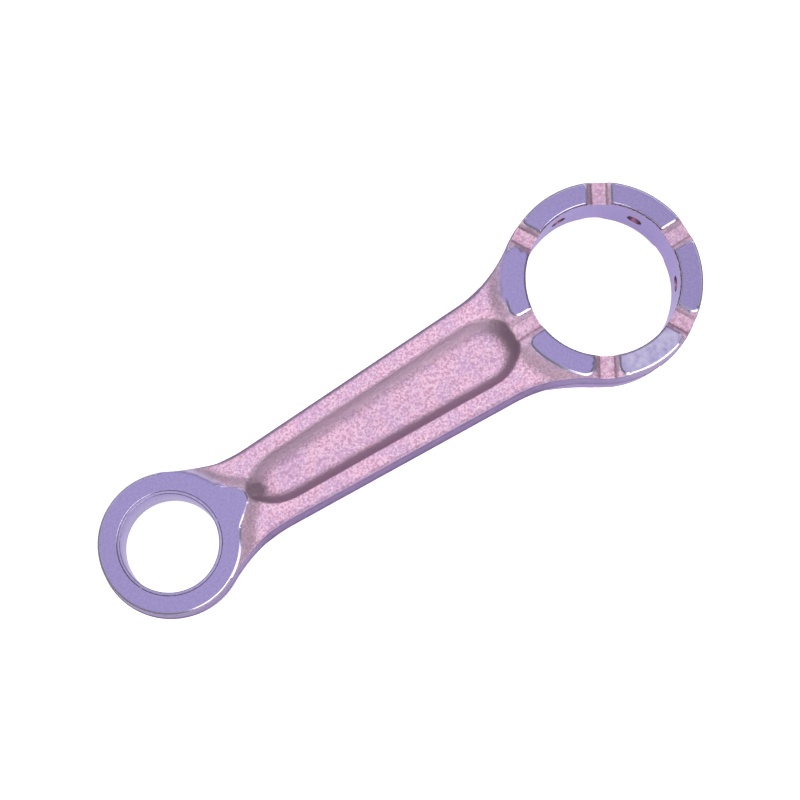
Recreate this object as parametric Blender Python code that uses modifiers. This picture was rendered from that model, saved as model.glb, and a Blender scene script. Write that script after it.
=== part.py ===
"""Connecting rod of a small two-stroke engine: a one-piece forging and its pressed-in small-end bush.

The rod lies flat. X runs along it from the small end to the big end, Z is up, and the origin is the centre
of the rod's box on the plane of the lower ground faces.
"""
import math

import bmesh
import bpy

MM = 0.001

# The whole rod
CENTRE_DISTANCE = 110.0 * MM
EYE_WIDTH = 13.5 * MM            # both eyes are ground to this thickness
FIT_GAP = 0.2 * MM               # drawn between the bush and its seat

# Big end: runs on a needle cage, so its bore is bare
BIG_BORE_RADIUS = 17.0 * MM
BIG_EYE_RADIUS = 22.3 * MM       # at the parting line
BIG_CHAMFER = 0.8 * MM

# Small end: a thin bush carries the piston pin
BUSH_BORE_RADIUS = 10.5 * MM
BUSH_RADIUS = 11.15 * MM
BUSH_CHAMFER = 0.5 * MM
SMALL_EYE_RADIUS = 15.6 * MM     # at the parting line

# Outer side of an eye: a small bevel at the face, then draft down to the parting line
EYE_BEVEL = 0.5 * MM
EYE_DRAFT = 0.3 * MM

# Shank: an I-section that widens towards the big end
SHANK_DEPTH = 10.5 * MM
SHANK_SMALL_HALF = 9.6 * MM      # half-width where the shank leaves the small end
SHANK_BIG_HALF = 12.3 * MM       # half-width where it meets the big end
SHANK_SMALL_X = 21.0 * MM        # both measured from the small-end centre
SHANK_BIG_X = 80.0 * MM
FLARE_RADIUS = 32.0 * MM         # where the shank spreads into each eye
SHANK_DRAFT = 0.6 * MM           # side draft, and the rounding of the flange edges
SHANK_ROUND = 0.8 * MM

# Pocket in each face of the shank
POCKET_DEPTH = 3.0 * MM
POCKET_START_X = 20.8 * MM
POCKET_END_X = 85.0 * MM
POCKET_START_HALF = 5.2 * MM
POCKET_END_HALF = 7.6 * MM
POCKET_START_CORNER = 3.4 * MM
POCKET_END_CORNER = 5.0 * MM
POCKET_SIDE_SLOPE = 1.7 * MM     # how far the walls lean in, at the sides and at the ends
POCKET_END_SLOPE = 4.0 * MM

# Ramp from the shank's flanges up to each eye
RAMP_RUN = 3.2 * MM
RAMP_RISE = 0.8 * MM
BIG_EXIT = math.radians(126.0)   # where each ground face's edge meets the rod's side, seen from the eye
SMALL_EXIT = math.radians(58.0)

# Nose of the small eye's ground face, which points along the shank
NOSE_REACH = 19.2 * MM
NOSE_RADIUS = 2.6 * MM
NOSE_ANGLE = math.radians(38.0)

# Lubrication slots and holes of the big end
SLOT_COUNT = 6
SLOT_DEPTH = 1.1 * MM
SLOT_FLOOR = 4.2 * MM
SLOT_MOUTH = 5.6 * MM
SLOT_START = 9.0 * MM            # inside the bore
SLOT_REACH = 24.0 * MM
OIL_HOLE_RADIUS = 1.8 * MM
OIL_HOLE_ANGLES = (-90, -30, 30, 90)

ROUND_STEPS = 72
HOLE_STEPS = 24
ARC_STEPS = 18
CORNER_STEPS = 8
CLEAR = 1.0 * MM                 # how far a cutter stands out of the face it cuts

ROD_LENGTH = SMALL_EYE_RADIUS + CENTRE_DISTANCE + BIG_EYE_RADIUS
SMALL_X = SMALL_EYE_RADIUS - ROD_LENGTH / 2
BIG_X = SMALL_X + CENTRE_DISTANCE
MID_Z = EYE_WIDTH / 2
HALF_EYE = EYE_WIDTH / 2
HALF_SHANK = SHANK_DEPTH / 2


# ---------------------------------------------------------------- scene and materials

def clear_scene():
    for thing in list(bpy.data.objects):
        bpy.data.objects.remove(thing, do_unlink=True)


def new_collection(name):
    collection = bpy.data.collections.new(name)
    bpy.context.scene.collection.children.link(collection)
    return collection


def metal(name, colour, roughness):
    material = bpy.data.materials.new(name)
    material.use_nodes = True
    shader = material.node_tree.nodes["Principled BSDF"]
    shader.inputs["Base Color"].default_value = (*colour, 1.0)
    shader.inputs["Roughness"].default_value = roughness
    shader.inputs["Metallic"].default_value = 1.0
    return material


# ---------------------------------------------------------------- solids

def add_object(name, mesh, collection, location=(0.0, 0.0, 0.0)):
    thing = bpy.data.objects.new(name, mesh)
    thing.location = location
    collection.objects.link(thing)
    return thing


def loft(name, sections, collection):
    """A solid through closed outlines of equal length, given as (z, points) from the bottom up."""
    bm = bmesh.new()
    rings = [[bm.verts.new((x, y, z)) for x, y in points] for z, points in sections]
    count = len(rings[0])
    for low, high in zip(rings, rings[1:]):
        for i in range(count):
            j = (i + 1) % count
            bm.faces.new((low[i], low[j], high[j], high[i]))
    bm.faces.new(reversed(rings[0]))
    bm.faces.new(rings[-1])
    mesh = bpy.data.meshes.new(name)
    bm.to_mesh(mesh)
    bm.free()
    return add_object(name, mesh, collection)


def turned(name, profile, location, collection, closed=False):
    """A solid turned about Z from (radius, height) points that run down its outer side."""
    edges = [(i, i + 1) for i in range(len(profile) - 1)]
    if closed:
        edges.append((len(profile) - 1, 0))
    mesh = bpy.data.meshes.new(name)
    mesh.from_pydata([(radius, 0.0, height) for radius, height in profile], edges, [])
    thing = add_object(name, mesh, collection, location)
    screw = thing.modifiers.new("turn", "SCREW")
    screw.steps = screw.render_steps = ROUND_STEPS
    screw.use_merge_vertices = True
    screw.merge_threshold = 0.00001
    screw.use_smooth_shade = True
    return thing


def as_cutter(thing):
    thing.hide_render = True
    thing.display_type = "WIRE"
    return thing


def combine(target, tool, operation):
    modifier = target.modifiers.new(f"{operation.lower()} {tool.name}", "BOOLEAN")
    modifier.operation = operation
    modifier.solver = "EXACT"
    modifier.object = tool
    as_cutter(tool)


# ---------------------------------------------------------------- outlines

def arc(centre, radius, start, end, steps=ARC_STEPS):
    cx, cy = centre
    turn = (end - start) / steps
    return [(cx + radius * math.cos(start + turn * i), cy + radius * math.sin(start + turn * i))
            for i in range(steps + 1)]


def flare_centre(eye_x, eye_radius, narrowing, side):
    """Centre of the arc that touches an eye and the shank's upper edge. side is +1 for the small eye."""
    slope = math.atan2(SHANK_BIG_HALF - SHANK_SMALL_HALF, SHANK_BIG_X - SHANK_SMALL_X)
    along = (math.cos(slope), math.sin(slope))
    radius = FLARE_RADIUS + narrowing
    start = (SMALL_X + SHANK_SMALL_X - radius * along[1] - eye_x,
             SHANK_SMALL_HALF - narrowing + radius * along[0])
    half = start[0] * along[0] + start[1] * along[1]
    rest = start[0] ** 2 + start[1] ** 2 - (eye_radius + radius) ** 2
    travel = -half + side * math.sqrt(half * half - rest)
    return (eye_x + start[0] + travel * along[0], start[1] + travel * along[1]), slope


def rod_outline(eye_inset, shank_inset):
    """The rod seen from above, counter-clockwise, with eyes and shank drawn smaller by the insets."""
    small_radius = SMALL_EYE_RADIUS - eye_inset
    big_radius = BIG_EYE_RADIUS - eye_inset
    small_flare, slope = flare_centre(SMALL_X, small_radius, shank_inset, 1)
    big_flare, _ = flare_centre(BIG_X, big_radius, shank_inset, -1)
    small_turn = math.atan2(small_flare[1], small_flare[0] - SMALL_X)
    big_turn = math.atan2(big_flare[1], big_flare[0] - BIG_X)
    down = slope - math.pi / 2
    flare = FLARE_RADIUS + shank_inset
    upper = arc((BIG_X, 0.0), big_radius, 0.0, big_turn, 2 * ARC_STEPS)
    upper += arc(big_flare, flare, big_turn - math.pi, down)[1:]
    upper += arc(small_flare, flare, down, small_turn - math.pi)
    upper += arc((SMALL_X, 0.0), small_radius, small_turn, math.pi, 2 * ARC_STEPS)[1:]
    lower = [(x, -y) for x, y in reversed(upper[1:-1])]
    return upper + lower


def small_face_radius(angle, grow):
    """Edge of the small eye's ground face, its nose included, as a radius from the eye's centre."""
    angle = abs(angle)
    tip_x = NOSE_REACH - NOSE_RADIUS
    tip_radius = NOSE_RADIUS + grow
    flank = math.pi / 2 - NOSE_ANGLE
    touch = math.atan2(tip_radius * math.sin(flank), tip_x + tip_radius * math.cos(flank))
    if angle < touch:
        nose = tip_x * math.cos(angle) + math.sqrt(tip_radius ** 2 - (tip_x * math.sin(angle)) ** 2)
    else:
        nose = (tip_x * math.cos(flank) + tip_radius) / math.cos(angle - flank)
    return max(nose, SMALL_EYE_RADIUS - EYE_DRAFT + grow)


def relief_outline(grow):
    """The space between the two ground faces, which reach further into it as grow gets larger."""
    big_radius = BIG_EYE_RADIUS - EYE_DRAFT + grow
    big_edge = arc((BIG_X, 0.0), big_radius, 2 * math.pi - BIG_EXIT, BIG_EXIT, 2 * ARC_STEPS)
    small_edge = []
    for i in range(2 * ARC_STEPS + 1):
        angle = SMALL_EXIT * (1 - i / ARC_STEPS)
        radius = small_face_radius(angle, grow)
        small_edge.append((SMALL_X + radius * math.cos(angle), radius * math.sin(angle)))
    side = BIG_EYE_RADIUS + CLEAR
    return ([(small_edge[-1][0], -side), (big_edge[0][0], -side)] + big_edge
            + [(big_edge[-1][0], side), (small_edge[0][0], side)] + small_edge)


def pocket_outline(side_inset, end_inset):
    """A tapered slot with round corners, counter-clockwise."""
    start_x = SMALL_X + POCKET_START_X + end_inset
    end_x = SMALL_X + POCKET_END_X - end_inset
    start_half = POCKET_START_HALF - side_inset
    end_half = POCKET_END_HALF - side_inset
    quarter = math.pi / 2
    upper = arc((end_x - POCKET_END_CORNER, end_half - POCKET_END_CORNER), POCKET_END_CORNER,
                0.0, quarter, CORNER_STEPS)
    upper += arc((start_x + POCKET_START_CORNER, start_half - POCKET_START_CORNER), POCKET_START_CORNER,
                 quarter, math.pi, CORNER_STEPS)
    return upper + [(x, -y) for x, y in reversed(upper)]


# ---------------------------------------------------------------- pieces of the forging

def rod_body(collection):
    """Both eyes and the shank at the full thickness of the eyes, with draft up to the parting line."""
    flange = SHANK_DRAFT + SHANK_ROUND
    bevel_start = HALF_EYE - EYE_BEVEL
    shank_insets = ((HALF_SHANK - SHANK_ROUND, SHANK_DRAFT), (HALF_SHANK, flange), (bevel_start, flange))
    upper = [(z, EYE_DRAFT * z / bevel_start, shank) for z, shank in shank_insets]
    upper.append((HALF_EYE, EYE_DRAFT + EYE_BEVEL, flange))
    levels = [(-z, eye, shank) for z, eye, shank in reversed(upper)] + [(0.0, 0.0, 0.0), *upper]
    sections = [(MID_Z + z, rod_outline(eye, shank)) for z, eye, shank in levels]
    return loft("rod_forging", sections, collection)


def relief_cutter(side, cutters):
    """What is missing above the shank: its floor is the flanges' plane, and it ramps up to each eye."""
    levels = ((HALF_SHANK, RAMP_RUN), (HALF_SHANK + RAMP_RISE, 0.0), (HALF_EYE - EYE_BEVEL, 0.0),
              (HALF_EYE + CLEAR, -EYE_BEVEL - CLEAR))
    sections = [(MID_Z + side * z, relief_outline(grow)) for z, grow in levels]
    return loft(f"relief_{side}", sections[::side], cutters)


def pocket_cutter(side, cutters):
    """The hollow in the upper face (side +1) or the lower face (side -1)."""
    slack = CLEAR / POCKET_DEPTH
    levels = [(HALF_SHANK - POCKET_DEPTH, POCKET_SIDE_SLOPE, POCKET_END_SLOPE),
              (HALF_SHANK + CLEAR, -slack * POCKET_SIDE_SLOPE, -slack * POCKET_END_SLOPE)]
    sections = [(MID_Z + side * z, pocket_outline(across, along)) for z, across, along in levels]
    return loft(f"pocket_{side}", sections[::side], cutters)


def slot_cutter(index, side, cutters):
    """One radial slot, wider at its mouth than on its floor."""
    angle = 2 * math.pi * index / SLOT_COUNT
    spread = (SLOT_MOUTH - SLOT_FLOOR) / SLOT_DEPTH
    sections = []
    for z, width in ((HALF_EYE - SLOT_DEPTH, SLOT_FLOOR), (HALF_EYE + CLEAR, SLOT_MOUTH + spread * CLEAR)):
        corners = ((SLOT_START, -width / 2), (SLOT_REACH, -width / 2),
                   (SLOT_REACH, width / 2), (SLOT_START, width / 2))
        turned_corners = [(BIG_X + x * math.cos(angle) - y * math.sin(angle),
                           x * math.sin(angle) + y * math.cos(angle)) for x, y in corners]
        sections.append((MID_Z + side * z, turned_corners))
    return loft(f"slot_{index}_{side}", sections[::side], cutters)


def bore_cutter(name, eye_x, radius, chamfer, cutters):
    wide = radius + chamfer + CLEAR
    high = HALF_EYE + CLEAR
    if chamfer:
        side = [(wide, high), (radius, HALF_EYE - chamfer), (radius, chamfer - HALF_EYE), (wide, -high)]
    else:
        side = [(radius, high), (radius, -high)]
    return turned(name, [(0.0, high), *side, (0.0, -high)], (eye_x, 0.0, MID_Z), cutters)


def oil_hole_cutter(degrees, cutters):
    angle = math.radians(degrees)
    middle = (BIG_BORE_RADIUS + BIG_EYE_RADIUS) / 2
    bm = bmesh.new()
    bmesh.ops.create_cone(bm, cap_ends=True, segments=HOLE_STEPS, radius1=OIL_HOLE_RADIUS,
                          radius2=OIL_HOLE_RADIUS, depth=2 * (BIG_EYE_RADIUS - BIG_BORE_RADIUS))
    mesh = bpy.data.meshes.new("oil_hole")
    bm.to_mesh(mesh)
    bm.free()
    place = (BIG_X + middle * math.cos(angle), middle * math.sin(angle), MID_Z)
    hole = add_object(f"oil_hole_{degrees}", mesh, cutters, place)
    hole.rotation_euler = (0.0, math.pi / 2, angle)
    return hole


# ---------------------------------------------------------------- the two parts

def make_forging(parts, cutters):
    rod = rod_body(parts)
    for side in (1, -1):
        combine(rod, relief_cutter(side, cutters), "DIFFERENCE")
        combine(rod, pocket_cutter(side, cutters), "DIFFERENCE")
        for index in range(SLOT_COUNT):
            combine(rod, slot_cutter(index, side, cutters), "DIFFERENCE")
    combine(rod, bore_cutter("big_bore", BIG_X, BIG_BORE_RADIUS, BIG_CHAMFER, cutters), "DIFFERENCE")
    combine(rod, bore_cutter("bush_seat", SMALL_X, BUSH_RADIUS + FIT_GAP, 0.0, cutters), "DIFFERENCE")
    for degrees in OIL_HOLE_ANGLES:
        combine(rod, oil_hole_cutter(degrees, cutters), "DIFFERENCE")
    rod.data.materials.append(metal("plated_forging", (0.62, 0.44, 0.56), 0.45))


def make_bush(parts):
    inner, outer, cut = BUSH_BORE_RADIUS, BUSH_RADIUS, BUSH_CHAMFER
    profile = [(outer, HALF_EYE), (outer, -HALF_EYE), (inner + cut, -HALF_EYE), (inner, cut - HALF_EYE),
               (inner, HALF_EYE - cut), (inner + cut, HALF_EYE)]
    bush = turned("small_end_bush", profile, (SMALL_X, 0.0, MID_Z), parts, closed=True)
    bush.data.materials.append(metal("bush_steel", (0.45, 0.42, 0.52), 0.3))


def main():
    clear_scene()
    parts = new_collection("connecting_rod")
    cutters = new_collection("cutters")
    make_forging(parts, cutters)
    make_bush(parts)


main()
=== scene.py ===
"""Looks of a forged two-stroke connecting rod: the fine forging, its pressed-in bush, metals and studio.

Shapes are worked out in millimetres, with X measured from the small eye's centre along the rod and Z
from the rod's middle plane, and go into the part's own frame when a mesh is made.
"""
import math
from contextlib import contextmanager

import bmesh
import bpy
import numpy as np
from mathutils import Matrix, Vector, noise


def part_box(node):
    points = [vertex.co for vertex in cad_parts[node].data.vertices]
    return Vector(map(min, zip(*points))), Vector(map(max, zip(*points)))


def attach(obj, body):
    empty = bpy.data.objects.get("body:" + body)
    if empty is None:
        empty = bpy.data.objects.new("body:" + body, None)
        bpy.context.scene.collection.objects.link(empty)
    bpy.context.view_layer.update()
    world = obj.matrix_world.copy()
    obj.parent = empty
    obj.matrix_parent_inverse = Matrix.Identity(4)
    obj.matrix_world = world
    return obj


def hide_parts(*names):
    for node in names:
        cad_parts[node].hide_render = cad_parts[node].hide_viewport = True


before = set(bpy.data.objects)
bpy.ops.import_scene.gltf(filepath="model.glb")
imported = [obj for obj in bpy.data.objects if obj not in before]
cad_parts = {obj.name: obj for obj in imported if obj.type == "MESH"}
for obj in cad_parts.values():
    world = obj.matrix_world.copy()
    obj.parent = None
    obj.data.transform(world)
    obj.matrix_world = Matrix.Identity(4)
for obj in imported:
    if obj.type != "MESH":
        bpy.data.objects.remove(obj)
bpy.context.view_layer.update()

MM = 0.001

bush_low, bush_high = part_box("small_end_bush")
rod_low, rod_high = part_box("rod_forging")
SMALL_EYE_PLACE = (bush_low + bush_high) / 2     # centre of the small eye, at mid thickness
HALF_EYE = (rod_high.z - rod_low.z) / 2 / MM

# ---------------------------------------------------------------- sizes of the rod, in millimetres

CENTRE_DISTANCE = 110.0
HALFWAY = CENTRE_DISTANCE / 2    # the big eye's shapes rule beyond this, the small eye's before it
BIG_RADIUS = 22.3                # outer radius of the big eye on the parting line
SMALL_RADIUS = 15.6
BIG_BORE = 17.0
BIG_CHAMFER = 0.45
SEAT_RADIUS = 11.22              # seat of the bush in the small eye
BUSH_OUTER = 11.15
BUSH_BORE = 10.5
JOINT_CHAMFER = 0.07             # broken edge on both sides of the bush's joint

FLANGE = 5.25                    # height of the shank's flanges over the middle plane
SHANK_SMALL_X, SHANK_SMALL_HALF = 21.0, 9.6    # half-width of the shank on the parting line at two places
SHANK_BIG_X, SHANK_BIG_HALF = 80.0, 12.3
FLARE_RADIUS = 32.0              # arc from each eye to the shank's edge

POCKET_DEPTH = 3.0
POCKET_WALL = 4.4                # width of the pocket's wall with its fillet
POCKET_WALL_CURVE = 2.8          # higher puts more of the wall's drop next to its upper edge
POCKET_EDGE = 0.5                # rounding of the pocket's upper edge
POCKET_RISE = 2.0                # how steeply the wall's surface carries on above that edge
POCKET_START, POCKET_START_HALF = 20.4, 5.3
POCKET_END, POCKET_END_HALF = 86.6, 7.7
POCKET_ROUND = 0.94              # rounding of the pocket's ends as a share of its half-width
POCKET_START_STRETCH = 1.6       # the end walls are this much longer than the side walls
POCKET_END_STRETCH = 1.25

SLOT_COUNT = 6
SLOT_DEPTH = 1.1
SLOT_FLAT = 1.5                  # half-width of a slot's flat floor
SLOT_HALF = 3.05                 # half-width of a slot between the two ground faces beside it
PAD_CORNER = 1.25                # mean rounding of those faces' corners, seen from above
PAD_CORNER_CHANGE = 0.95         # they get this much rounder on one side of the eye, and sharper across it
PAD_CORNER_SIDE = math.radians(-135.0)         # direction of that side from the eye's centre
PAD_BEVEL = 0.4                  # bright bevel round every ground face
PAD_BEVEL_DROP = 0.36
PAD_WALL_SLOPE = 0.85            # steepness of the wall under the bevel
PAD_FOOT = 0.12                  # rounding at the foot of that wall
SLOT_RUNOUT = 3.5                # the slots' floor comes down to the flanges over this length
SLOT_EDGE = 0.5                  # rounding between a slot and the ramp beside it
RAMP_TOP = 0.5                   # depth under the ground face where the ramp to the shank starts
BIG_RAMP_RUN = 5.0
SMALL_RAMP_RUN = 4.0

# Between these angles from the shank, on its upper side, the ground faces have no step to the forging
FLUSH_START, FLUSH_END = math.radians(13.0), math.radians(75.0)
FLUSH_BLEND = math.radians(10.0)
FLUSH_SLOT_BLEND = 2.0           # the step is back within this distance of a slot
FLUSH_FADE = 2.4                 # the ground steel fades into the plating over this length there

GROUND_FRINGE = 0.15             # elsewhere its colour ends this far outside the bevel
RAMP_SHADE_SHARE = 0.65                # how much the plating is darkened on the ramps beside the ground faces, as painted shade
RAMP_SHADE_END, RAMP_SHADE_FADE = 5.0, 3.2   # how far out the painted shade reaches, and the last part of that, where it fades
SLOT_RAMP_SHADE = 0.35                 # how much of that is left in the slots
CHAMFER_SHADE_SHARE = 0.6               # share of the big bore's chamfer that is painted dark as shade
EYE_WALL_GROUND = 0.2            # share of ground steel's colour in the eyes' outer walls

NOSE_REACH = 19.0                # tip of the small ground face's nose, from the eye's centre
NOSE_RADIUS = 2.7
NOSE_ANGLE = math.radians(38.0)  # between each flank of the nose and the rod's length
NOSE_LEAN = math.radians(2.0)    # the nose points slightly to the upper side
NOSE_FILLET = 0.8                # rounding between the nose and the round face

EDGE_DRAFT = 0.3                 # inset of an eye's outer wall at its top
FLANGE_DRAFT = 0.55              # the same for the shank's flanges
EYE_ROUND = 0.1                  # rounding of the outer edges
FLANGE_ROUND = 1.0
ROUND_REACH = 6.0                # the edge changes from the eye's to the flange's over this length
FLASH = 0.12                     # what is left of the trimmed flash on the parting line
FLASH_HALF = 0.45                # half-thickness of the flash at its root
FLASH_ROOT = 0.03                # the root is this far inside the outline
FLASH_TAPER = 0.7                # thickness at the flash's edge as a share of that at its root

UNEVENNESS = 0.04                # height of the low waves in the forged surfaces
CALM_GAP, CALM_FADE = 0.1, 0.4   # they start this far outside the bevels and grow over this length
WAVES = ((0.7, 0.0, 1.0), (1.6, 5.0, 0.7))     # waves per millimetre, layer of the noise, share

BUSH_SINK = 0.05                 # the bush lies this far below the ground face
BUSH_LEAD = 0.16                 # lead-in chamfer of its bore
LEAD_SECTION = ((1.0, 0.0), (0.4, 0.5), (0.0, 1.4))     # its points, along and down, as shares of that
BUSH_STEPS = 180
SHARP_ANGLE = 32.0               # edges sharper than this many degrees stay crisp

OIL_HOLE_RADIUS = 1.8
OIL_HOLE_ANGLES = (-90, -30, 30, 90)
OIL_HOLE_STEPS = 40

BIG_FACE_EDGE = BIG_RADIUS - EDGE_DRAFT - EYE_ROUND - PAD_BEVEL
SMALL_FACE_EDGE = SMALL_RADIUS - EDGE_DRAFT - EYE_ROUND - PAD_BEVEL

# ---------------------------------------------------------------- colours and grain of the metals

PLATE_LIGHT, PLATE_SHADE, PLATE_VIOLET = (1.0, 0.63, 0.85), (0.68, 0.39, 0.57), (0.66, 0.44, 0.73)
PLATE_PAINTED_SHADE, PLATE_PAINTED_GLINT = (0.46, 0.34, 0.43), (1.0, 0.80, 0.93)
GROUND_LIGHT, GROUND_SHADE = (0.295, 0.248, 0.475), (0.25, 0.207, 0.42)
GROUND_RUBBED = (0.46, 0.43, 0.60)
RUBBED_PLACE = (CENTRE_DISTANCE + 1.0, -19.6, HALF_EYE)
RUBBED_FROM, RUBBED_TO = 4.0, 13.0     # the rubbed patch fades out between these distances from its middle
BEVEL_PAINTED_HIGHLIGHT = (0.56, 0.51, 0.70)
WALL_LIGHT, WALL_SHADE = (0.165, 0.11, 0.225), (0.12, 0.08, 0.17)
PAINTED_DARK_COLOUR = (0.16, 0.12, 0.26)
BUSH_LIGHT, BUSH_SHADE = (0.34, 0.30, 0.50), (0.28, 0.24, 0.42)
GRAZING_TINT = (0.82, 0.76, 0.92)
GROUND_ROUGHNESS, BUSH_ROUGHNESS = 0.34, 0.26

# Size of the blobs in millimetres, then how finely they are broken up
BLAST_GRAIN, SPARKLE_GRAIN, PATCH_GRAIN = (0.55, 3.0), (0.35, 1.0), (5.0, 2.0)
STEEL_GRAIN, MOTTLE_GRAIN, WALL_GRAIN = (0.5, 4.0), (1.2, 4.0), (1.5, 3.0)
BUSH_GRAIN = (0.6, 3.0)
GRINDING_MARKS, GRINDING_STRETCH = (0.15, 1.0), (1.0, 0.15, 1.0)
TURNING_MARKS, TURNING_STRETCH = (0.25, 2.0), (0.1, 0.1, 1.0)
BLAST_BUMP, TURNING_BUMP = 0.16, 0.004
SOFT = (0.3, 0.7)                # the noise runs from one colour to the other between these
VIOLET_SHARE = 0.5               # how strongly the violet patches show

# By the normal's upright part, which is 1 on a level surface. Steep plating is painted darker as shade
STEEP, LEVEL = 0.72, 0.99        # the plating darkens from level to steep
BEVEL_FROM, BEVEL_TO = (0.5, 0.7), (0.9, 0.97)       # the bevels' painted highlight grows over the first and fades over the second

# ---------------------------------------------------------------- camera, lights and floor, in metres

LENS, SENSOR = 90.0, 36.0        # in millimetres
CAMERA_AIM = (-0.0004, 0.0005, 2 * HALF_EYE * MM)
CAMERA_DISTANCE = 0.4311
CAMERA_LOOK = (0.1116, 0.1234, -0.9861)
TOP_OF_VIEW = math.radians(58.14)      # direction on the floor that points up in the view

# Place, the point it faces, width, height and power of each softbox
SOFTBOXES = {
    "overhead": ((0.05, 0.1, 1.1), (0.0, 0.0, 0.0), 0.9, 0.9, 3.1),
    "low_key": ((0.010, -0.10, 0.038), (0.0, 0.0, 0.014), 0.19, 0.04, 0.07),
    "fill": ((0.1, 0.62, 0.55), (0.0, 0.0, 0.0), 1.2, 0.5, 1.5),
}
ROOM_LIGHT = 0.32
FLOOR_REACH = 3.0
FLOOR_GAP = 0.03 * MM            # keeps the rod's lower faces out of the floor's own plane
FLOOR_WHITE, FLOOR_GLOW = 0.9, 0.85


# ---------------------------------------------------------------- soft steps and joints between surfaces

def smooth_min(a, b, reach):
    share = np.clip(0.5 + 0.5 * (b - a) / reach, 0.0, 1.0)
    return b + (a - b) * share - reach * share * (1.0 - share)


def smooth_max(a, b, reach):
    return -smooth_min(-a, -b, reach)


def ease(t):
    t = np.clip(t, 0.0, 1.0)
    return t * t * (3.0 - 2.0 * t)


def rounded_corner(a, b, radius):
    """Distance inside a corner between two sides, given the distances inside each of them."""
    return radius - np.hypot(np.maximum(radius - a, 0.0), np.maximum(radius - b, 0.0)) + np.maximum(
        np.minimum(a, b) - radius, 0.0)


# ---------------------------------------------------------------- the rod seen from above

SHANK_SLOPE = math.atan2(SHANK_BIG_HALF - SHANK_SMALL_HALF, SHANK_BIG_X - SHANK_SMALL_X)
SETTLING_STEPS = 4               # rounds of working out the outline and its inset from each other


class Eye:
    """One eye with its own axes: angle 0 points along the shank.

    The shank's grid takes over at the stitch's radius. The counts are the eye's own grid: rays on the free
    side, rows over the ground face and rows over the ramp.
    """

    def __init__(self, centre, toward, radius, bore, chamfer, stitch, counts):
        self.centre, self.toward, self.radius = centre, toward, radius
        self.bore, self.chamfer, self.stitch = bore, chamfer, stitch
        self.free_rays, self.face_rows, self.ramp_rows = counts
        self.flare = self._flare_centre()
        self.turn = math.atan2(self.flare[1], self.flare[0])
        self.flare_end = self.flare[0] + toward * FLARE_RADIUS * math.sin(SHANK_SLOPE)

    def _flare_centre(self):
        """Centre of the arc that touches the eye and the shank's edge, in the eye's own axes."""
        along = (math.cos(SHANK_SLOPE), math.sin(SHANK_SLOPE))
        start = (SHANK_SMALL_X - FLARE_RADIUS * along[1] - self.centre,
                 SHANK_SMALL_HALF + FLARE_RADIUS * along[0])
        half = start[0] * along[0] + start[1] * along[1]
        rest = start[0] ** 2 + start[1] ** 2 - (self.radius + FLARE_RADIUS) ** 2
        travel = -half + self.toward * math.sqrt(half * half - rest)
        return np.array(((start[0] + travel * along[0]) * self.toward, start[1] + travel * along[1]))

    def place(self, radius, angle):
        return self.centre + self.toward * radius * np.cos(angle), radius * np.sin(angle)

    def outline(self, angle):
        """Radius of the top surface's outer edge at each angle."""
        angle = np.abs(angle)
        along = self.flare[0] * np.cos(angle) + self.flare[1] * np.sin(angle)
        radius = np.full_like(angle, self.radius)
        for _ in range(SETTLING_STEPS):
            inset = edge_inset(*self.place(radius, angle))
            inside = np.maximum(along ** 2 - (self.flare ** 2).sum() + (FLARE_RADIUS + inset) ** 2, 0.0)
            radius = np.where(angle < self.turn, along - np.sqrt(inside), self.radius - inset)
        return radius

    def outward(self, x, y):
        """Direction out of the rod, square to its outline."""
        own_x = (x - self.centre) * self.toward
        side = np.sign(y)
        straight = np.stack([-self.toward * math.sin(SHANK_SLOPE) + 0.0 * x, side * math.cos(SHANK_SLOPE)])
        to_flare = np.stack([self.flare[0] - own_x, side * self.flare[1] - y])
        direction = np.where(own_x > self.flare_end, straight, to_flare)
        direction = np.where(np.abs(np.arctan2(y, own_x)) >= self.turn, np.stack([own_x, y]), direction)
        direction = direction / np.hypot(*direction)
        return direction[0] * self.toward, direction[1]


def edge_weight(x, y):
    """0 on the outer wall of an eye, 1 on the shank's flanges."""
    from_small = np.hypot(x, y) - SMALL_RADIUS
    from_big = np.hypot(x - CENTRE_DISTANCE, y) - BIG_RADIUS
    return ease(np.minimum(from_small, from_big) / ROUND_REACH)


def edge_round(x, y):
    return EYE_ROUND + (FLANGE_ROUND - EYE_ROUND) * edge_weight(x, y)


def edge_inset(x, y):
    """How far the top surface stops inside the outline on the parting line."""
    return EDGE_DRAFT + (FLANGE_DRAFT - EDGE_DRAFT) * edge_weight(x, y) + edge_round(x, y)


SMALL = Eye(0.0, 1.0, SMALL_RADIUS, SEAT_RADIUS, JOINT_CHAMFER, stitch=21.5, counts=(190, 13, 14))
BIG = Eye(CENTRE_DISTANCE, -1.0, BIG_RADIUS, BIG_BORE, BIG_CHAMFER, stitch=26.0, counts=(500, 15, 12))


def half_width(x):
    """Half-width of the top surface along the shank."""
    straight = SHANK_SMALL_HALF + (x - SHANK_SMALL_X) * math.tan(SHANK_SLOPE)
    width = straight
    for _ in range(SETTLING_STEPS):
        inset = edge_inset(x, width)
        width = straight - inset / math.cos(SHANK_SLOPE)
        for eye in (SMALL, BIG):
            off = x - eye.centre - eye.toward * eye.flare[0]
            inside = np.maximum((FLARE_RADIUS + inset) ** 2 - off ** 2, 0.0)
            past = eye.toward * (x - eye.centre) < eye.flare_end
            width = np.where(past, eye.flare[1] - np.sqrt(inside), width)
    return width


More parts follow.
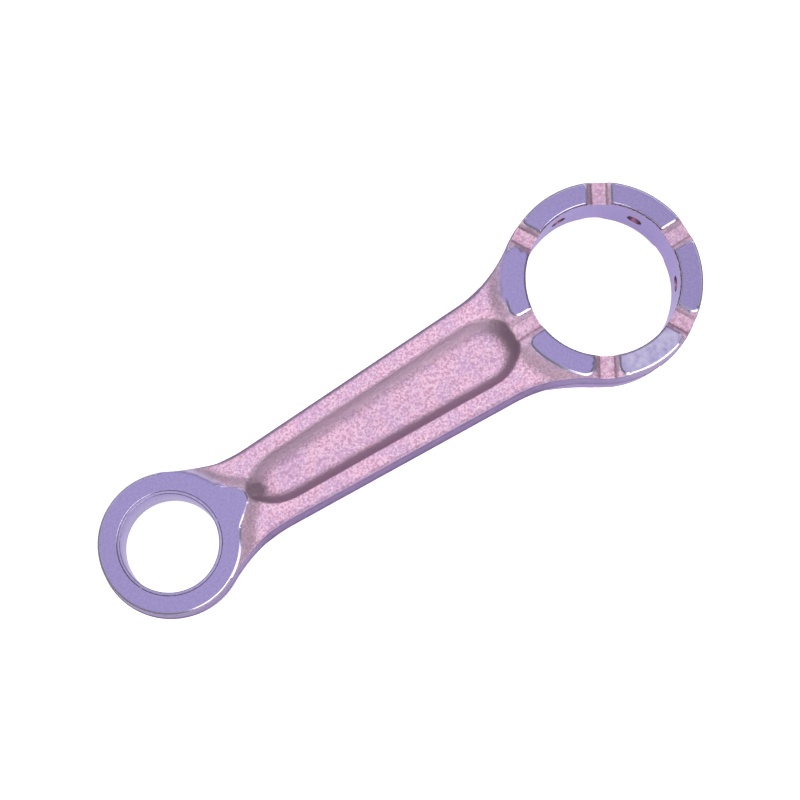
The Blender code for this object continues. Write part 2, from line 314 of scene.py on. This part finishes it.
def small_face_radius(angle):
    """Edge of the small eye's ground face, its nose included, in the eye's own axes."""
    angle = np.abs(np.angle(np.exp(1j * (angle - NOSE_LEAN))))
    tip_x = NOSE_REACH - NOSE_RADIUS
    flank = math.pi / 2 - NOSE_ANGLE
    touch = math.atan2(NOSE_RADIUS * math.sin(flank), tip_x + NOSE_RADIUS * math.cos(flank))
    across = np.maximum(NOSE_RADIUS ** 2 - (tip_x * np.sin(angle)) ** 2, 0.0)
    round_tip = tip_x * np.cos(angle) + np.sqrt(across)
    straight = (tip_x * math.cos(flank) + NOSE_RADIUS) / np.cos(np.minimum(angle, flank) - flank)
    nose = np.where(angle < touch, round_tip, np.where(angle < flank, straight, 0.0))
    return smooth_max(nose, SMALL_FACE_EDGE, NOSE_FILLET)


# ---------------------------------------------------------------- height of the top surface

def big_polar(x, y):
    return np.hypot(x - CENTRE_DISTANCE, y), np.arctan2(y, CENTRE_DISTANCE - x)


def slot_distance(radius, angle):
    """Distance outside the nearest slot, square to it."""
    step = 2 * math.pi / SLOT_COUNT
    nearest = (angle + step / 2) % step - step / 2
    return np.abs(radius * np.sin(nearest)) - SLOT_HALF


def big_pad_distance(x, y):
    """Distance inside the big eye's ground faces, negative outside them."""
    radius, angle = big_polar(x, y)
    corner = PAD_CORNER + PAD_CORNER_CHANGE * np.cos(math.pi - angle - PAD_CORNER_SIDE)
    return rounded_corner(BIG_FACE_EDGE - radius, slot_distance(radius, angle), corner)


def small_pad_distance(x, y):
    return small_face_radius(np.arctan2(y, x)) - np.hypot(x, y)


def pad_height(distance):
    """The ground face, its bevel and the steep wall under that."""
    bevel = PAD_BEVEL_DROP * np.clip(-distance / PAD_BEVEL, 0.0, 1.0)
    wall = PAD_WALL_SLOPE * np.maximum(-distance - PAD_BEVEL, 0.0)
    return HALF_EYE - bevel - wall


def flush_share(x, y):
    """1 where a ground face runs out into the forging without a step."""
    radius, angle = big_polar(x, y)
    on_big = x > HALFWAY
    off_slot = np.where(on_big, ease(slot_distance(radius, angle) / FLUSH_SLOT_BLEND), 1.0)
    angle = np.where(on_big, angle, np.arctan2(y, x))
    return off_slot * ease((angle - FLUSH_START) / FLUSH_BLEND) * ease((FLUSH_END - angle) / FLUSH_BLEND)


def ramp_height(distance, run, flush):
    """The forged slope from an eye down to the flanges, by distance from the ground face."""
    top = HALF_EYE - RAMP_TOP * (1.0 - flush)
    start = PAD_BEVEL * (1.0 - flush)
    return FLANGE + (top - FLANGE) * ease(1.0 - (distance - start) / run)


def pocket_height(x, y):
    share = (x - POCKET_START) / (POCKET_END - POCKET_START)
    half = POCKET_START_HALF + (POCKET_END_HALF - POCKET_START_HALF) * np.clip(share, 0.0, 1.0)
    end = np.minimum((x - POCKET_START) / POCKET_START_STRETCH,
                     (POCKET_END - x) / POCKET_END_STRETCH)
    inside = rounded_corner(half - np.abs(y), end, POCKET_ROUND * half)
    down = 1.0 - (1.0 - np.clip(inside / POCKET_WALL, 0.0, 1.0)) ** POCKET_WALL_CURVE
    rise = np.maximum(-inside, 0.0) * POCKET_RISE
    return FLANGE - POCKET_DEPTH * down + rise


def slot_height(radius, angle):
    """The slots' floors and sides."""
    floor = HALF_EYE - SLOT_DEPTH
    floor = floor + (FLANGE - floor) * ease((radius - BIG_FACE_EDGE) / SLOT_RUNOUT)
    past_floor = np.maximum(slot_distance(radius, angle) + SLOT_HALF - SLOT_FLAT, 0.0)
    return floor + past_floor * PAD_WALL_SLOPE


def height(x, y):
    """Height of the rod's upper surface over its middle plane."""
    on_big = x > HALFWAY
    radius, angle = big_polar(x, y)
    big_pad, small_pad = big_pad_distance(x, y), small_pad_distance(x, y)
    flush = flush_share(x, y)
    ramp = np.where(on_big, ramp_height(radius - BIG_FACE_EDGE, BIG_RAMP_RUN, flush),
                    ramp_height(-small_pad, SMALL_RAMP_RUN, flush))
    forged = smooth_min(ramp, pocket_height(x, y), POCKET_EDGE)
    forged = np.where(on_big, smooth_min(forged, slot_height(radius, angle), SLOT_EDGE), forged)
    pad = np.where(on_big, pad_height(big_pad), pad_height(small_pad))
    chamfer = HALF_EYE - np.where(on_big, BIG_BORE + BIG_CHAMFER - radius,
                                  SEAT_RADIUS + JOINT_CHAMFER - np.hypot(x, y))
    return np.minimum(np.minimum(smooth_max(forged, pad, PAD_FOOT), HALF_EYE), chamfer)


# ---------------------------------------------------------------- grids over the top half of the forging

SHANK_COLUMNS = 96
SHANK_ROWS = 96
FLARE_RAYS = 24                  # on each side of a sector
CHAMFER_ROWS = 4
BEVEL_ROWS = 3
BORE_ROWS = 4
SNAP_REACH = 0.15                # points this close to an edge of a ground face are moved onto it
SLOPE_STEP = 0.01                # a slope is measured this far to both sides of its point
LEAST_SLOPE = 0.5                # stands in for slopes that are flatter than this
SECTOR_GUESS = 0.4               # half-angle where the search for a sector's rays starts
SECTOR_STEPS = 30
EDGE_TURNS = np.radians((0, 22, 45, 68, 90))     # rows round the upper edge
WALL_ROWS = (0.35, 0.7)          # the outer wall's rows, as shares of its height
BARE_ROWS = 3.0                  # the plating wears off over this many rows from the upper edge
SAME_POINT = 0.5e-6              # points closer than this are joined, in metres

# Finish of a point: shares of ground steel, of painted shade (the dark chamfer and oil holes, and the
# darkened ramps) and of side wall. The rest is plated.
GROUND, PAINTED_DARK, SIDE = np.identity(3)


def sector_rays(eye):
    """Angles of the rays that run on into the shank's columns."""
    share = np.linspace(-1.0, 1.0, SHANK_COLUMNS + 1)
    angle = share * SECTOR_GUESS
    for _ in range(SECTOR_STEPS):
        x, _y = eye.place(eye.stitch, angle)
        angle = np.arcsin(share * half_width(x) / eye.stitch)
    return angle


def forged_rays(eye):
    """Rays from one end of the flares to the other, through the sector."""
    sector = sector_rays(eye)
    flare = np.linspace(sector[-1], eye.turn, FLARE_RAYS + 1)[1:]
    return np.concatenate([-flare[::-1], sector, flare])


def nearest_pad(x, y):
    """Distance inside the nearest ground face."""
    return np.where(x > HALFWAY, big_pad_distance(x, y), small_pad_distance(x, y))


def snapped(x, y):
    """The points, with those next to the edge of a ground face or to the foot of its bevel moved onto it."""
    step = SLOPE_STEP
    for level in (0.0, -PAD_BEVEL):
        here = nearest_pad(x, y) - level
        slope_x = (nearest_pad(x + step, y) - nearest_pad(x - step, y)) / (2 * step)
        slope_y = (nearest_pad(x, y + step) - nearest_pad(x, y - step)) / (2 * step)
        squared = np.maximum(slope_x ** 2 + slope_y ** 2, LEAST_SLOPE ** 2)
        move = np.where(np.abs(here) < SNAP_REACH, here / squared, 0.0)
        x, y = x - move * slope_x, y - move * slope_y
    return x, y


def forged_unevenness(x, y):
    """Low waves of the forging, which leave the ground faces and their bevels true."""
    share = np.clip((-nearest_pad(x, y) - PAD_BEVEL - CALM_GAP) / CALM_FADE, 0.0, 1.0)
    waves = [sum(part * noise.noise((a * rate, b * rate, layer)) for rate, layer, part in WAVES)
             for a, b in zip(x.ravel(), y.ravel())]
    return UNEVENNESS * share * np.array(waves).reshape(x.shape)


def top_point(x, y):
    return np.stack([x, y, height(x, y) + forged_unevenness(x, y)], axis=-1)


def top_finish(points):
    """Finish of points on the upper surface."""
    x, y = points[..., 0], points[..., 1]
    pad = nearest_pad(x, y)
    fringe = GROUND_FRINGE + FLUSH_FADE * flush_share(x, y)
    ground = ease((pad + PAD_BEVEL + fringe) / fringe)[..., None]
    radius, angle = big_polar(x, y)
    # The outer part of the big bore's chamfer is painted dark, as painted shade and dark reflection
    in_chamfer = (radius < BIG_BORE + CHAMFER_SHADE_SHARE * BIG_CHAMFER)[..., None]
    # The ramps beside the ground faces get painted shade through the dark share, with less of it in the
    # slots
    off_slot = np.where(x > HALFWAY, SLOT_RAMP_SHADE + (1.0 - SLOT_RAMP_SHADE) * ease(slot_distance(radius, angle)), 1.0)
    ramp_shade = (RAMP_SHADE_SHARE * off_slot * ease((RAMP_SHADE_END + pad) / RAMP_SHADE_FADE))[..., None]
    return np.where(in_chamfer, ground * PAINTED_DARK, ground * GROUND + (1.0 - ground) * ramp_shade * PAINTED_DARK)


def rows_between(low, high, steps):
    share = np.linspace(0.0, 1.0, steps + 1)[:, None]
    return low + (high - low) * share


def ring_grid(eye):
    """The top of one eye from its bore to the foot of the outer bevel, once round."""
    forged = forged_rays(eye)
    free = np.linspace(forged[-1], 2 * math.pi + forged[0], eye.free_rays + 1)
    angle = np.concatenate([forged, free[1:]])
    edge = small_face_radius(angle) if eye is SMALL else np.full_like(angle, BIG_FACE_EDGE)
    inner = np.full_like(angle, eye.bore)
    radius = np.concatenate([rows_between(inner, inner + eye.chamfer, CHAMFER_ROWS),
                             rows_between(inner + eye.chamfer, edge, eye.face_rows)[1:],
                             rows_between(edge, edge + PAD_BEVEL, BEVEL_ROWS)[1:]])
    x, y = eye.place(radius, angle)
    inside = slice(CHAMFER_ROWS + 1, -1)
    x[inside], y[inside] = snapped(x[inside], y[inside])
    points = top_point(x, y)
    points[:, -1] = points[:, 0]
    return points


def sector_grid(eye, ring_edge):
    """The top between one eye's bevel and the stitch to the shank, or the outline where that comes first."""
    angle = forged_rays(eye)
    outer = np.minimum(eye.outline(angle), eye.stitch)
    outer[FLARE_RAYS:-FLARE_RAYS] = eye.stitch
    start = eye.toward * (ring_edge[:, 0] - eye.centre)
    inner = np.hypot(start, ring_edge[:, 1])
    radius = rows_between(inner, np.maximum(outer, inner), eye.ramp_rows)
    points = top_point(*eye.place(radius, angle))
    points[0] = ring_edge
    return points


def shank_grid(small_edge, big_edge):
    """The top of the shank from stitch to stitch, in columns that follow its taper."""
    column = np.linspace(-1.0, 1.0, SHANK_COLUMNS + 1)
    x = rows_between(small_edge[:, 0], big_edge[:, 0], SHANK_ROWS)
    points = top_point(x, column * half_width(x))
    points[0], points[-1] = small_edge, big_edge
    return points


def outward(x, y):
    """Direction out of the rod, square to its outline."""
    small, big = SMALL.outward(x, y), BIG.outward(x, y)
    return [np.where(x < HALFWAY, s, b) for s, b in zip(small, big)]


def wall_grid(edge):
    """The outer wall from the top's edge down to the flash on the parting line."""
    x, y, z = edge.T
    inset = edge_inset(x, y)
    bend = edge_round(x, y)
    levels = [(bend * math.sin(turn), z - bend * (1 - math.cos(turn))) for turn in EDGE_TURNS]
    out, top = levels[-1]
    levels += [(out + (inset - out) * share, top * (1 - share)) for share in WALL_ROWS]
    flat = np.zeros_like(z)
    levels += [(inset - FLASH_ROOT, flat + FLASH_HALF), (inset + FLASH, flat + FLASH_TAPER * FLASH_HALF),
               (inset + FLASH, flat)]
    out_x, out_y = outward(x, y)
    rows = [np.stack([x + out_x * away, y + out_y * away, level], axis=-1) for away, level in levels]
    return np.array(rows)


def wall_finish(edge, rows):
    """The top's own finish on the first row, and bare metal below the bend."""
    bare = ease(np.arange(rows) / BARE_ROWS)[:, None, None]
    on_eye = 1.0 - edge_weight(edge[:, 0], edge[:, 1])[:, None]
    sides = SIDE + EYE_WALL_GROUND * on_eye * GROUND
    return bare * sides + (1.0 - bare) * top_finish(edge)


def bore_grid(ring_start):
    """The wall of a bore from its upper edge down to the middle plane."""
    middle = ring_start * (1.0, 1.0, 0.0)
    share = np.linspace(0.0, 1.0, BORE_ROWS + 1)[:, None, None]
    return ring_start + (middle - ring_start) * share


def top_half():
    """Every grid of the rod's upper half with the finish of its points."""
    rings = {eye: ring_grid(eye) for eye in (SMALL, BIG)}
    forged = slice(0, SHANK_COLUMNS + 2 * FLARE_RAYS + 1)
    sectors = {eye: sector_grid(eye, rings[eye][-1, forged]) for eye in (SMALL, BIG)}
    sector = slice(FLARE_RAYS, FLARE_RAYS + SHANK_COLUMNS + 1)
    shank = shank_grid(sectors[SMALL][-1, sector], sectors[BIG][-1, sector])

    def eye_edge(eye):
        ring, flares = rings[eye][-1], sectors[eye][-1]
        return np.concatenate([flares[sector.stop - 1:], ring[forged.stop - 1:], flares[:FLARE_RAYS + 1]])

    edge = np.concatenate([eye_edge(SMALL)[::-1], shank[1:-1, -1], eye_edge(BIG), shank[1:-1, 0][::-1]])
    edge = np.concatenate([edge, edge[:1]])
    grids = [(points, top_finish(points)) for points in (*rings.values(), *sectors.values(), shank)]
    grids += [(bore_grid(ring[0]), GROUND) for ring in rings.values()]
    wall = wall_grid(edge)
    grids.append((wall, wall_finish(edge, len(wall))))
    return grids


@contextmanager
def edited(mesh):
    """The mesh opened for editing, and written back at the end."""
    bm = bmesh.new()
    bm.from_mesh(mesh)
    yield bm
    bm.to_mesh(mesh)
    bm.free()


def set_finish(mesh, finish):
    shares = mesh.attributes.new("finish", "FLOAT_VECTOR", "POINT")
    shares.data.foreach_set("vector", finish.ravel())


def whole_mesh(name, grids):
    """One closed mesh from the upper half's grids and their mirror images, in the part's frame."""
    points, finish, faces, count = [], [], [], 0
    for flip in (1.0, -1.0):
        for grid, look in grids:
            rows, columns, _ = grid.shape
            index = count + np.arange(rows * columns).reshape(rows, columns)
            corners = [index[:-1, :-1], index[:-1, 1:], index[1:, 1:], index[1:, :-1]]
            faces.append(np.stack(corners, -1).reshape(-1, 4))
            points.append((grid * (1.0, 1.0, flip)).reshape(-1, 3))
            finish.append(np.broadcast_to(look, grid.shape).reshape(-1, 3))
            count += rows * columns
    points = np.concatenate(points) * MM + np.array(SMALL_EYE_PLACE)
    mesh = bpy.data.meshes.new(name)
    mesh.from_pydata(points.tolist(), [], np.concatenate(faces).tolist())
    set_finish(mesh, np.concatenate(finish))
    with edited(mesh) as bm:
        bmesh.ops.remove_doubles(bm, verts=bm.verts, dist=SAME_POINT)
        bmesh.ops.dissolve_degenerate(bm, edges=bm.edges, dist=SAME_POINT)
        bmesh.ops.recalc_face_normals(bm, faces=bm.faces)
    return mesh


def add_piece(name, mesh, material):
    piece = bpy.data.objects.new(name, mesh)
    bpy.context.scene.collection.objects.link(piece)
    mesh.materials.append(material)
    return piece


def oil_drill(angle):
    """A round cutter through the wall of the big eye; the hole that it leaves is painted dark as shade."""
    mesh = bpy.data.meshes.new("oil_drill")
    radius = OIL_HOLE_RADIUS * MM
    depth = 2 * (BIG_RADIUS - BIG_BORE) * MM
    with edited(mesh) as bm:
        bmesh.ops.create_cone(bm, cap_ends=True, segments=OIL_HOLE_STEPS, radius1=radius, radius2=radius,
                              depth=depth)
    # The hole's wall is painted dark, as painted shade
    set_finish(mesh, np.tile(PAINTED_DARK, len(mesh.vertices)))
    middle = (BIG_RADIUS + BIG_BORE) / 2
    place = Vector((CENTRE_DISTANCE + middle * math.cos(angle), middle * math.sin(angle), 0.0)) * MM
    turn = Matrix.Rotation(angle, 4, "Z") @ Matrix.Rotation(math.pi / 2, 4, "Y")
    mesh.transform(Matrix.Translation(SMALL_EYE_PLACE + place) @ turn)
    drill = bpy.data.objects.new("oil_drill", mesh)
    bpy.context.scene.collection.objects.link(drill)
    return drill


def drill_oil_holes(rod):
    """Cuts the radial oil holes through the wall of the big eye."""
    drills = [oil_drill(math.radians(degrees)) for degrees in OIL_HOLE_ANGLES]
    for drill in drills:
        cut = rod.modifiers.new("oil hole", "BOOLEAN")
        cut.operation, cut.solver, cut.object = "DIFFERENCE", "EXACT", drill
    depsgraph = bpy.context.evaluated_depsgraph_get()
    finished = bpy.data.meshes.new_from_object(rod.evaluated_get(depsgraph))
    rod.modifiers.clear()
    rod.data = finished
    for drill in drills:
        bpy.data.objects.remove(drill)


def bush_mesh():
    """The bush turned from its section, with broken edges outside and a lead-in chamfer inside."""
    outer, inner, half, top = BUSH_OUTER, BUSH_BORE, HALF_EYE, HALF_EYE - BUSH_SINK
    lead = [(inner + along * BUSH_LEAD, top - down * BUSH_LEAD) for along, down in LEAD_SECTION]
    upper = [(outer, 0.0), (outer, half - JOINT_CHAMFER), (outer - JOINT_CHAMFER, top), *lead, (inner, 0.0)]
    profile = upper + [(radius, -z) for radius, z in reversed(upper[1:-1])]
    turn = np.linspace(0.0, 2 * math.pi, BUSH_STEPS, endpoint=False)
    points = [(radius * math.cos(a), radius * math.sin(a), z) for a in turn for radius, z in profile]
    index = np.arange(len(points)).reshape(BUSH_STEPS, len(profile))
    after = np.roll(index, -1, axis=0)
    faces = np.stack([index, after, np.roll(after, -1, axis=1), np.roll(index, -1, axis=1)], -1)
    placed = np.array(points) * MM + np.array(SMALL_EYE_PLACE)
    mesh = bpy.data.meshes.new("bush")
    mesh.from_pydata(placed.tolist(), [], faces.reshape(-1, 4).tolist())
    with edited(mesh) as bm:
        bmesh.ops.recalc_face_normals(bm, faces=bm.faces)
    return mesh


def shade(piece):
    piece.data.shade_smooth()
    piece.data.set_sharp_from_angle(angle=math.radians(SHARP_ANGLE))


# ---------------------------------------------------------------- metals

class Share:
    """A number or colour that varies over a surface. Arithmetic on numbers adds Math nodes."""

    def __init__(self, metal, socket):
        self.metal, self.socket = metal, socket

    def _math(self, operation, *terms):
        return self.metal.node("ShaderNodeMath", {"operation": operation}, dict(enumerate(terms)))

    def __add__(self, other):
        return self._math("ADD", self, other)

    def __sub__(self, other):
        return self._math("SUBTRACT", self, other)

    def __rsub__(self, other):
        return self._math("SUBTRACT", other, self)

    def __mul__(self, other):
        return self._math("MULTIPLY", self, other)

    __radd__, __rmul__ = __add__, __mul__

    def between(self, low, high):
        """0 below low, 1 above high, smooth in between."""
        return self.metal.node("ShaderNodeMapRange", {"interpolation_type": "SMOOTHSTEP"},
                               {"Value": self, "From Min": low, "From Max": high})


class Metal:
    """A material under construction."""

    def __init__(self, name):
        self.material = bpy.data.materials.new(name)
        self.material.use_nodes = True
        self.tree = self.material.node_tree
        self.shader = self.tree.nodes["Principled BSDF"]
        self.shader.inputs["Metallic"].default_value = 1.0
        self.shader.inputs["Specular Tint"].default_value = (*GRAZING_TINT, 1.0)
        self.place = self.node("ShaderNodeTexCoord", output="Object")

    def node(self, kind, settings=None, sockets=None, output=0):
        """Adds a node, its settings first and then its sockets' values or links, and gives one output."""
        node = self.tree.nodes.new(kind)
        for name, value in (settings or {}).items():
            setattr(node, name, value)
        for name, value in (sockets or {}).items():
            if isinstance(value, Share):
                self.tree.links.new(value.socket, node.inputs[name])
            else:
                node.inputs[name].default_value = value
        return Share(self, node.outputs[output])

    def grain(self, size, detail, stretch=None):
        """Noise from 0 to 1 with blobs of about this many millimetres."""
        place = self.place
        if stretch:
            place = self.node("ShaderNodeVectorMath", {"operation": "MULTIPLY"}, {0: place, 1: stretch})
        sockets = {"Vector": place, "Scale": 1.0 / (size * MM), "Detail": detail}
        return self.node("ShaderNodeTexNoise", {}, sockets)

    def mix(self, share, low, high):
        """A colour from low to high by share."""
        low, high = [side if isinstance(side, Share) else (*side, 1.0) for side in (low, high)]
        return self.node("ShaderNodeMix", {"data_type": "RGBA"}, {0: share, 6: low, 7: high}, 2)

    def finish(self, colour, roughness, bump, depth):
        """Links the shader. depth is the height of the bump, in millimetres."""
        normal = self.node("ShaderNodeBump", {}, {"Height": bump, "Distance": depth * MM, "Strength": 1.0})
        for name, value in (("Base Color", colour), ("Roughness", roughness), ("Normal", normal)):
            self.tree.links.new(value.socket, self.shader.inputs[name])
        return self.material


def forging_metal():
    """Copper-plated, shot-blasted forging with ground faces and bores and half-bare side walls."""
    metal = Metal("plated_and_ground_steel")
    kinds = metal.node("ShaderNodeAttribute", {"attribute_name": "finish"}, output="Vector")
    ground, painted_shade, side = [metal.node("ShaderNodeSeparateXYZ", {}, {0: kinds}, axis) for axis in "XYZ"]
    normal = metal.node("ShaderNodeNewGeometry", output="Normal")
    upright = metal.node("ShaderNodeSeparateXYZ", {}, {0: normal}, "Z")
    upright = metal.node("ShaderNodeMath", {"operation": "ABSOLUTE"}, {0: upright})

    blast = metal.grain(*BLAST_GRAIN)
    sparkle = metal.grain(*SPARKLE_GRAIN)
    pink = metal.mix(blast.between(0.36, 0.6), PLATE_SHADE, PLATE_LIGHT)
    pink = metal.mix(metal.grain(*PATCH_GRAIN).between(0.35, 0.65) * VIOLET_SHARE, pink, PLATE_VIOLET)
    # Painted glints: pale flecks painted into the plating where the two noises meet
    pink = metal.mix(sparkle.between(0.5, 0.62) * blast.between(0.42, 0.54), pink, PLATE_PAINTED_GLINT)
    # Painted shade: steep plating, and the chamfer and the shaded ramps through the dark share, turn towards
    # a shade colour
    pink = metal.mix(upright.between(STEEP, LEVEL) * (1.0 - painted_shade), PLATE_PAINTED_SHADE, pink)
    wall = metal.mix(metal.grain(*WALL_GRAIN).between(*SOFT), WALL_SHADE, WALL_LIGHT)

    steel = metal.mix(metal.grain(*STEEL_GRAIN).between(*SOFT), GROUND_SHADE, GROUND_LIGHT)
    middle = Vector(RUBBED_PLACE) * MM + SMALL_EYE_PLACE
    ends = {0: metal.place, 1: middle}
    away = metal.node("ShaderNodeVectorMath", {"operation": "DISTANCE"}, ends, "Value")
    rubbed = 1.0 - away.between(RUBBED_FROM * MM, RUBBED_TO * MM)
    mottle = metal.grain(*MOTTLE_GRAIN).between(0.1, 0.75)
    steel = metal.mix(rubbed * mottle, steel, GROUND_RUBBED)
    # Painted highlight: the bevels round the ground faces are painted lighter than the ground steel
    bevel = upright.between(*BEVEL_FROM) * (1.0 - upright.between(*BEVEL_TO)) * ground
    steel = metal.mix(bevel, steel, BEVEL_PAINTED_HIGHLIGHT)

    colour = metal.mix(ground, metal.mix(side, pink, wall), steel)
    # Painted shade: the bore's chamfer and the oil holes are painted dark
    colour = metal.mix(painted_shade.between(0.8, 1.0), colour, PAINTED_DARK_COLOUR)
    plated = (1.0 - ground) * (1.0 - side * 0.6)
    roughness = GROUND_ROUGHNESS + plated * (0.08 + sparkle * 0.2) - bevel * 0.1
    height = plated * (blast * 0.6 + sparkle * 0.4) + metal.grain(*GRINDING_MARKS, GRINDING_STRETCH) * 0.02
    return metal.finish(colour, roughness, height, BLAST_BUMP)


def bush_metal():
    """Finely bored steel with fine turning marks."""
    metal = Metal("bored_bush_steel")
    steel = metal.mix(metal.grain(*BUSH_GRAIN).between(*SOFT), BUSH_SHADE, BUSH_LIGHT)
    marks = metal.grain(*TURNING_MARKS, TURNING_STRETCH)
    return metal.finish(steel, BUSH_ROUGHNESS + marks * 0.1, marks, TURNING_BUMP)


# ---------------------------------------------------------------- studio

def add_camera():
    """A long lens over the rod, leaning over its near side, with the rod turned in the view."""
    camera = bpy.data.objects.new("camera", bpy.data.cameras.new("camera"))
    camera.data.lens, camera.data.sensor_width = LENS, SENSOR
    camera.data.clip_start, camera.data.clip_end = 0.01, 20.0
    look = Vector(CAMERA_LOOK).normalized()
    hint = Vector((math.cos(TOP_OF_VIEW), math.sin(TOP_OF_VIEW), 0.0))
    up = (hint - look * hint.dot(look)).normalized()
    turn = Matrix((look.cross(up), up, -look)).transposed().to_4x4()
    camera.matrix_world = Matrix.Translation(Vector(CAMERA_AIM) - look * CAMERA_DISTANCE) @ turn
    bpy.context.scene.collection.objects.link(camera)
    bpy.context.scene.camera = camera


def add_softbox(name, place, aim, width, tall, power):
    lamp = bpy.data.lights.new(name, "AREA")
    lamp.shape = "RECTANGLE"
    lamp.size, lamp.size_y = width, tall
    lamp.energy = power
    softbox = bpy.data.objects.new(name, lamp)
    softbox.location = place
    softbox.rotation_euler = (Vector(aim) - Vector(place)).to_track_quat("-Z", "Y").to_euler()
    softbox.visible_camera = False
    bpy.context.scene.collection.objects.link(softbox)


def add_floor():
    mesh = bpy.data.meshes.new("floor")
    level = rod_low.z - FLOOR_GAP
    corners = [(x * FLOOR_REACH, y * FLOOR_REACH, level) for x, y in ((-1, -1), (1, -1), (1, 1), (-1, 1))]
    mesh.from_pydata(corners, [], [(0, 1, 2, 3)])
    paper = bpy.data.materials.new("white_paper")
    paper.use_nodes = True
    shader = paper.node_tree.nodes["Principled BSDF"]
    shader.inputs["Base Color"].default_value = (FLOOR_WHITE, FLOOR_WHITE, FLOOR_WHITE, 1.0)
    shader.inputs["Roughness"].default_value = 1.0
    shader.inputs["Specular IOR Level"].default_value = 0.0
    shader.inputs["Emission Color"].default_value = (1.0, 1.0, 1.0, 1.0)
    shader.inputs["Emission Strength"].default_value = FLOOR_GLOW
    add_piece("floor", mesh, paper)


def light_studio():
    world = bpy.data.worlds.new("studio")
    world.use_nodes = True
    background = world.node_tree.nodes["Background"]
    background.inputs["Color"].default_value = (1.0, 1.0, 1.0, 1.0)
    background.inputs["Strength"].default_value = ROOM_LIGHT
    bpy.context.scene.world = world
    for name, settings in SOFTBOXES.items():
        add_softbox(name, *settings)
    bpy.context.scene.view_settings.view_transform = "Standard"


def main():
    rod = add_piece("rod_forging_fine", whole_mesh("forging", top_half()), forging_metal())
    drill_oil_holes(rod)
    bush = add_piece("small_end_bush_fine", bush_mesh(), bush_metal())
    stand_ins = ((rod, "rod_forging", "plated_forging"), (bush, "small_end_bush", "bush_steel"))
    for piece, node, slot in stand_ins:
        shade(piece)
        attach(piece, "root")
        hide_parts(node)
    add_floor()
    light_studio()
    add_camera()


main()
